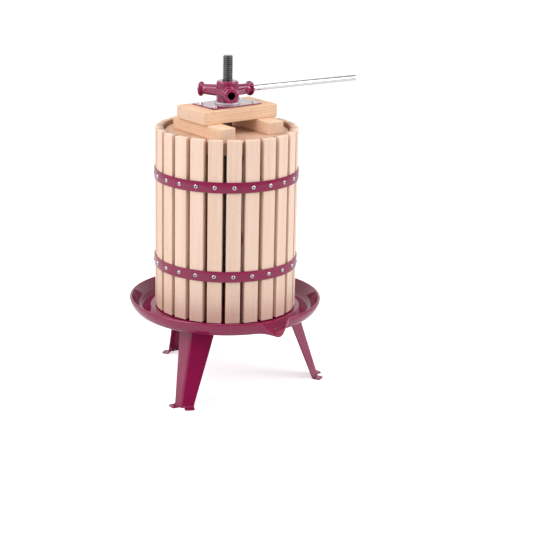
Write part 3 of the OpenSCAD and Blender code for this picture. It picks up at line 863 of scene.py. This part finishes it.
def make_legs():
    """Each leg's folded sheet, and its flange under the tray."""
    tip_x = LEG_TOP_R - LEG_TOP_W * math.sin(LEG_SIDE_TURN)
    tip_y = LEG_TOP_W * math.cos(LEG_SIDE_TURN) - LEG_T
    side = [(FLANGE_IN_R, tip_y), (tip_x, tip_y)]
    outline = [(x, -y) for x, y in side] + [(LEG_TOP_R - LEG_T, 0)] + side[::-1]
    for name, degrees in LEG_ANGLES.items():
        top_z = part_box(name)[1].z
        turn = Matrix.Rotation(math.radians(degrees), 4, "Z")
        bm = leg_sheet(top_z)
        bmesh.ops.transform(bm, matrix=turn, verts=bm.verts)
        leg = add_piece(f"painted_{name}", bm, "base", [name], PAINT, sharp=50)
        sheet = leg.modifiers.new("sheet", "SOLIDIFY")
        sheet.thickness = LEG_T
        sheet.offset = -1
        soften_edges(leg, LEG_EDGE, angle=60)
        flange = extruded(outline, top_z - LEG_T, top_z - FLANGE_GAP)
        bmesh.ops.transform(flange, matrix=turn, verts=flange.verts)
        plate = add_piece(f"painted_flange_{name}", flange, "base", [name], PAINT)
        soften_edges(plate, FLANGE_EDGE)


def make_pressure_plate():
    """The flat plate with round corners, turned a little on the block."""
    low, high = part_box("pressure_plate")
    outline = []
    for k, (sx, sy) in enumerate(((1, 1), (-1, 1), (-1, -1), (1, -1))):
        centre = (sx * (PLATE_L / 2 - PLATE_CORNER), sy * (PLATE_W / 2 - PLATE_CORNER))
        outline += arc(centre, PLATE_CORNER, k * QUARTER, (k + 1) * QUARTER, 8)
    bm = extruded(outline, low.z, high.z)
    bmesh.ops.transform(bm, matrix=Matrix.Rotation(PLATE_TURN, 4, "Z"), verts=bm.verts)
    plate = add_piece("painted_pressure_plate", bm, "press_head", ["pressure_plate"], PLATE_PAINT)
    soften_edges(plate, PLATE_EDGE, segments=3)


def make_rings():
    """The thrust washer and the support plate under the tray."""
    rings = (
        ("thrust_washer", "press_head", "bright_steel", WASHER_ZINC, SPINDLE_HOLE_R, WASHER_EDGE),
        ("support_plate", "base", "paint", PAINT, TRAY_HOLE_R, SUPPORT_EDGE),
    )
    for name, body, slot, material, hole, edge in rings:
        low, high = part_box(name)
        bm = lathe(ring_profile(hole, high.x, low.z, high.z, edge), steps=128, loop=True)
        add_piece(f"turned_{name}", bm, body, [name], material, sharp=50)


def make_spindle():
    """The spindle: a trapezoidal thread whose rows of vertices follow the helix, and a bright end."""
    low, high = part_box("spindle")
    crest = high.x
    root = crest - THREAD_DEPTH
    section = ((0.0, crest), (CREST_END, crest), (ROOT_START, root), (ROOT_END, root))
    steps = 40
    turns = math.ceil((high.z - low.z) / THREAD_PITCH) + 1
    bm = bmesh.new()

    def vertex(turn, share, radius, k):
        z = low.z + THREAD_PITCH * (turn - 1 + share + k / steps)
        z = min(max(z, low.z), high.z)
        from_end = min(z - low.z, high.z - z)
        reach = min(radius, crest - SPINDLE_CHAMFER + from_end)
        angle = math.tau * k / steps
        return bm.verts.new((reach * math.cos(angle), reach * math.sin(angle), z))

    lines = []
    for turn in range(turns + 1):
        for share, radius in section:
            lines.append([vertex(turn, share, radius, k) for k in range(steps)])
    jump = len(section)
    for i in range(len(lines) - 1):
        for k in range(steps - 1):
            bm.faces.new((lines[i][k], lines[i][k + 1], lines[i + 1][k + 1], lines[i + 1][k]))
        if i + jump + 1 < len(lines):
            bm.faces.new((lines[i][-1], lines[i + jump][0], lines[i + jump + 1][0], lines[i + 1][-1]))
    bmesh.ops.remove_doubles(bm, verts=bm.verts[:], dist=WELD_REACH)
    edges = [e for e in bm.edges if e.is_boundary]
    bmesh.ops.holes_fill(bm, edges=edges, sides=0)
    bmesh.ops.recalc_face_normals(bm, faces=bm.faces[:])
    for face in bm.faces:
        face.material_index = 1 if face.calc_center_median().z > high.z - TOP_REACH else 0
    spindle = add_piece("threaded_spindle", bm, "base", ["spindle"], THREAD_STEEL, sharp=38)
    spindle.data.materials.append(SCREW_STEEL)


# Crank and bar

def arm_place(turn, z):
    """Lays what stands on +Z along an arm, from the spindle's axis outwards."""
    return (
        Matrix.Rotation(turn, 4, "Z")
        @ Matrix.Translation((0, 0, z))
        @ Matrix.Rotation(QUARTER, 4, "Y")
    )


def make_bar():
    """The loose bar, hanging down a little in its socket."""
    profile = [(0, 0)] + arc((BAR_R - BAR_EDGE, BAR_EDGE), BAR_EDGE, -QUARTER, 0, 5)
    profile += arc((BAR_R - BAR_EDGE, BAR_L - BAR_EDGE), BAR_EDGE, 0, QUARTER, 5) + [(0, BAR_L)]
    bm = lathe(profile, steps=64)
    low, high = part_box("crank_hub")
    pivot = (SOCKET_IN + ARM_REACH) / 2
    place = arm_place(CRANK_TURN, (low.z + high.z) / 2) @ Matrix.Translation((0, 0, pivot))
    place @= Matrix.Rotation(BAR_DROOP, 4, "Y") @ Matrix.Translation((0, 0, BAR_IN - pivot))
    bmesh.ops.transform(bm, matrix=place, verts=bm.verts)
    add_piece("chrome_bar", bm, "bar", ["crank_bar"], CHROME, sharp=50)


def cast_hub_form(low_z, high_z):
    """The crank's outer form as overlapping closed shapes, before they are blended."""
    body = [(0, low_z)] + arc((HUB_R - HUB_EDGE, low_z + HUB_EDGE), HUB_EDGE, -QUARTER, 0, 6)
    body += arc((HUB_R - HUB_EDGE, high_z - HUB_EDGE), HUB_EDGE, 0, QUARTER, 6) + [(0, high_z)]
    bm = lathe(body, steps=96)
    middle = (low_z + high_z) / 2
    end = ARM_REACH + BLEND_LOSS
    collar_in = ARM_REACH - COLLAR_L
    round_r = COLLAR_R + BLEND_LOSS - COLLAR_EDGE
    profile = [(0, 0), (ARM_ROOT_R, 0), (ARM_ROOT_R, HUB_R), (ARM_R, collar_in - COLLAR_RUN)]
    profile += [(round_r, collar_in)]
    profile += arc((round_r, collar_in + COLLAR_EDGE), COLLAR_EDGE, -QUARTER, 0, 8)
    profile += arc((round_r, end - COLLAR_EDGE), COLLAR_EDGE, 0, QUARTER, 8) + [(0, end)]
    arm = lathe(profile, steps=64)
    outline = []
    for turn in ARM_TURNS:
        ahead = Vector((math.cos(turn), math.sin(turn)))
        beside = Vector((-math.sin(turn), math.cos(turn)))
        outline += [tuple(ahead * collar_in + beside * side) for side in (-WEB_END, WEB_END)]
    merge(bm, extruded(outline, middle - WEB_T / 2, middle + WEB_T / 2), Matrix.Identity(4))
    for turn in ARM_TURNS:
        merge(bm, arm, arm_place(turn, middle))
    return bm


def hub_bores(low_z, high_z):
    """What the spindle's bore and the three sockets with their rounded mouths take out of the crank."""
    bore_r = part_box("spindle")[1].x + HUB_BORE_CLEARANCE
    start, end = low_z - CUT_LEAD, high_z + CUT_LEAD
    bm = lathe([(0, start), (bore_r, start), (bore_r, end), (0, end)], steps=64)
    depth = ARM_REACH - SOCKET_IN
    wide = SOCKET_R + SOCKET_FLARE + CUT_LEAD
    profile = [(0, 0), (SOCKET_R, 0), (SOCKET_R, depth / 2)]
    profile += arc((wide, depth - CUT_LEAD), CUT_LEAD, math.pi, QUARTER, 8)
    profile += [(wide, depth + CUT_LEAD), (0, depth + CUT_LEAD)]
    socket = lathe(profile, steps=48)
    for turn in ARM_TURNS:
        place = arm_place(turn, (low_z + high_z) / 2) @ Matrix.Translation((0, 0, SOCKET_IN))
        merge(bm, socket, place)
    return bm


def baked(bm, name, modifiers):
    """The mesh with modifiers applied, as a new mesh."""
    mesh = finished_mesh(name, bm)
    draft = new_object(name, mesh)
    for kind, settings in modifiers:
        modifier = draft.modifiers.new(kind.lower(), kind)
        for key, value in settings.items():
            setattr(modifier, key, value)
    bpy.context.view_layer.update()
    result = bmesh.new()
    result.from_object(draft, bpy.context.evaluated_depsgraph_get())
    bpy.data.objects.remove(draft)
    bpy.data.meshes.remove(mesh)
    return result


def in_socket(spot):
    """Whether a point, seen from the middle of the crank, lies on a socket's bare wall."""
    for turn in ARM_TURNS:
        arm = Vector((math.cos(turn), math.sin(turn), 0))
        out = spot.dot(arm)
        off_axis = (spot - arm * out).length
        within_wall = off_axis < SOCKET_R + SOCKET_FLARE + BORE_REACH
        if within_wall and SOCKET_IN - CUT_LEAD < out < ARM_REACH - CUT_LEAD:
            return True
    return False


def make_hub():
    """The cast crank: its shapes blended into one, then bored, with bare iron darkened as painted shade in
    the sockets.
    """
    low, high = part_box("crank_hub")
    middle = Vector((0, 0, (low.z + high.z) / 2))
    blend = [
        ("REMESH", {"mode": "VOXEL", "voxel_size": BLEND_VOXEL}),
        ("SMOOTH", {"factor": 0.5, "iterations": BLEND_ROUNDS}),
    ]
    form = baked(cast_hub_form(low.z, high.z), "hub_form", blend)
    cutter = new_object("hub_bores", finished_mesh("hub_bores", hub_bores(low.z, high.z)))
    cut = ("BOOLEAN", {"operation": "DIFFERENCE", "solver": "EXACT", "object": cutter})
    bored = baked(form, "hub_bored", [cut])
    bpy.data.objects.remove(cutter)
    for face in bored.faces:
        face.material_index = 1 if in_socket(face.calc_center_median() - middle) else 0
    hub = add_piece("cast_crank_hub", bored, "crank", ["crank_hub"], LIT_CAST_PAINT, sharp=40)
    hub.data.materials.append(SHADED_BARE_IRON)


# Stage, light and camera

CAMERA_TURN = math.radians(-35.98)
CAMERA_OUT = 3.0947
CAMERA_HEIGHT = 1.1546
CAMERA_PITCH = math.radians(16.62)
CAMERA_YAW = math.radians(1.66)
CAMERA_ROLL = math.radians(1.13)
CAMERA_LENS = 107.1
CAMERA_SENSOR = 36.0
CAMERA_FAR = 100

# The floor, and its own glow for the camera and in reflections, where it fades under the press as a
# painted shadow, towards the dim side and on the right
FLOOR_SIZE = 30.0
FLOOR_WHITE = (0.80, 0.80, 0.80, 1)
FLOOR_BRIGHTER = (0.83, 0.83, 0.83, 1)
FLOOR_SEEN_GLOW = 0.62
FLOOR_MIRRORED_GLOW = 0.27
FLOOR_PAINTED_SHADOW_FROM = 0.12
FLOOR_PAINTED_SHADOW_TO = 0.34
FLOOR_DIM_TURN = 35
FLOOR_DIM_FROM = 0.2
FLOOR_DIM_TO = 1.0
FLOOR_RIGHT_FROM = 0.3
FLOOR_RIGHT_TO = 0.5

# The studio's light, and in reflections its dim side and its dim panel
STUDIO_LIGHT = 0.52
DIM_SIDE_RISE = 30
DIM_INNER = math.radians(28)
DIM_OUTER = math.radians(50)
DIM_LEVEL = 0.1
PANEL_SIDE = Vector((0.61, 0.2, 0.7)).normalized()
PANEL_INNER = math.radians(24)
PANEL_OUTER = math.radians(38)
PANEL_LEVEL = 0.45
LAMP_AIM = Vector((0, 0, 0.35))


def studio_direction(turn, rise=0):
    """A direction from the press, at an angle right of the camera and a height angle, both in degrees."""
    angle = CAMERA_TURN + math.radians(turn)
    level = math.cos(math.radians(rise))
    return Vector((math.sin(angle) * level, -math.cos(angle) * level, math.sin(math.radians(rise))))


def make_camera():
    """The photograph's view: the camera's place, turned by its yaw, pitch and roll."""
    data = bpy.data.cameras.new("camera")
    data.sensor_width = CAMERA_SENSOR
    data.lens = CAMERA_LENS
    data.clip_end = CAMERA_FAR
    camera = new_object("camera", data)
    aim = CAMERA_TURN - CAMERA_YAW
    ahead = Vector((-math.sin(aim), math.cos(aim), 0))
    right = Vector((math.cos(aim), math.sin(aim), 0))
    up = Vector((0, 0, 1))
    look = ahead * math.cos(CAMERA_PITCH) - up * math.sin(CAMERA_PITCH)
    over = ahead * math.sin(CAMERA_PITCH) + up * math.cos(CAMERA_PITCH)
    side = right * math.cos(CAMERA_ROLL) + over * math.sin(CAMERA_ROLL)
    top = over * math.cos(CAMERA_ROLL) - right * math.sin(CAMERA_ROLL)
    place = studio_direction(0) * CAMERA_OUT + up * CAMERA_HEIGHT
    camera.matrix_world = Matrix((
        (side.x, top.x, -look.x, place.x),
        (side.y, top.y, -look.y, place.y),
        (side.z, top.z, -look.z, place.z),
        (0, 0, 0, 1),
    ))
    bpy.context.scene.camera = camera


def make_floor():
    """A white floor that keeps the press's shadow. It glows for the camera, and in reflections around the
    press, but less under it as a painted shadow, towards the dim side and on the right."""
    g = Graph(bpy.data.materials.new("studio_floor"))
    place = g.add("TexCoord").outputs["Object"]
    rays = g.add("LightPath").outputs
    mirrored = g.math("MAXIMUM", rays["Is Glossy Ray"], rays["Is Transmission Ray"])
    away = g.add("VectorMath", {0: place}, operation="LENGTH").outputs["Value"]
    toward_dim = g.dot(place, studio_direction(FLOOR_DIM_TURN))
    to_right = g.add("SeparateXYZ", {0: place}).outputs["X"]
    # The glow seen in reflections fades under the press, a painted shadow
    glow = g.times(g.fit(away, FLOOR_PAINTED_SHADOW_FROM, FLOOR_PAINTED_SHADOW_TO), FLOOR_MIRRORED_GLOW)
    glow = g.times(glow, g.fit(toward_dim, FLOOR_DIM_FROM, FLOOR_DIM_TO, 1.0, 0.0))
    glow = g.times(glow, g.fit(to_right, FLOOR_RIGHT_FROM, FLOOR_RIGHT_TO, 1.0, 0.0))
    shine = g.math("ADD", g.times(rays["Is Camera Ray"], FLOOR_SEEN_GLOW), g.times(mirrored, glow))
    white = g.blend(g.noise(place, scale=3.0), FLOOR_WHITE, FLOOR_BRIGHTER)
    light = g.add("Emission", {"Strength": shine})
    matt = g.add("BsdfDiffuse", {"Color": white})
    both = g.add("AddShader", {0: matt.outputs[0], 1: light.outputs[0]})
    g.add("OutputMaterial", {"Surface": both.outputs[0]})
    bm = bmesh.new()
    bmesh.ops.create_grid(bm, x_segments=1, y_segments=1, size=FLOOR_SIZE)
    mesh = finished_mesh("floor", bm)
    mesh.materials.append(g.owner)
    floor = new_object("floor", mesh)


def make_world():
    """A white studio: plain light on everything. Its reflections have a dim side behind the photographer and
    a dim panel high on the right, which draws the bar's upper edge."""
    g = Graph(bpy.data.worlds.new("studio"))
    bpy.context.scene.world = g.owner
    rays = g.add("LightPath").outputs
    ray = g.add("TexCoord").outputs["Generated"]
    to_dim_side = g.dot(ray, studio_direction(0, DIM_SIDE_RISE))
    walls = g.fit(to_dim_side, math.cos(DIM_OUTER), math.cos(DIM_INNER), 1.0, DIM_LEVEL)
    to_panel = g.dot(ray, PANEL_SIDE)
    panel = g.fit(to_panel, math.cos(PANEL_OUTER), math.cos(PANEL_INNER), 1.0, PANEL_LEVEL)
    mirrored = g.math("MAXIMUM", rays["Is Glossy Ray"], rays["Is Transmission Ray"])
    unseen = g.either(mirrored, STUDIO_LIGHT, g.times(walls, panel))
    strength = g.either(rays["Is Camera Ray"], unseen, 1.0)
    sky = g.add("Background", {"Color": (1, 1, 1, 1), "Strength": strength})
    g.add("OutputWorld", {"Surface": sky.outputs[0]})


def add_lamp(name, turn, rise, distance, size, watts):
    """A square soft lamp aimed at the press, at an angle right of the camera and a height angle."""
    data = bpy.data.lights.new(name, "AREA")
    data.energy = watts
    data.size = size
    lamp = new_object(name, data)
    away = studio_direction(turn, rise)
    lamp.location = LAMP_AIM + away * distance
    lamp.rotation_euler = away.to_track_quat("Z", "Y").to_euler()


make_camera()
make_world()
make_floor()
add_lamp("key", turn=-62, rise=36, distance=2.8, size=2.0, watts=46)
add_lamp("fill", turn=77, rise=30, distance=2.8, size=2.0, watts=41)
add_lamp("top", turn=0, rise=84, distance=2.4, size=1.0, watts=9)

make_staves()
make_hoops()
make_hoop_screws()
make_tray()
make_legs()
make_press_boards()
make_press_blocks()
make_pressure_plate()
make_plate_screws()
make_rings()
make_nuts()
make_spindle()
make_hub()
make_bar()

# These stay as the CAD made them, in steel
for kept in ("leg_bolts", "leg_washers", "leg_nuts", "spindle_washers"):
    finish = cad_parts[kept].data.materials
    finish.clear()
    finish.append(SCREW_STEEL)

bpy.context.scene.view_settings.view_transform = "Standard"
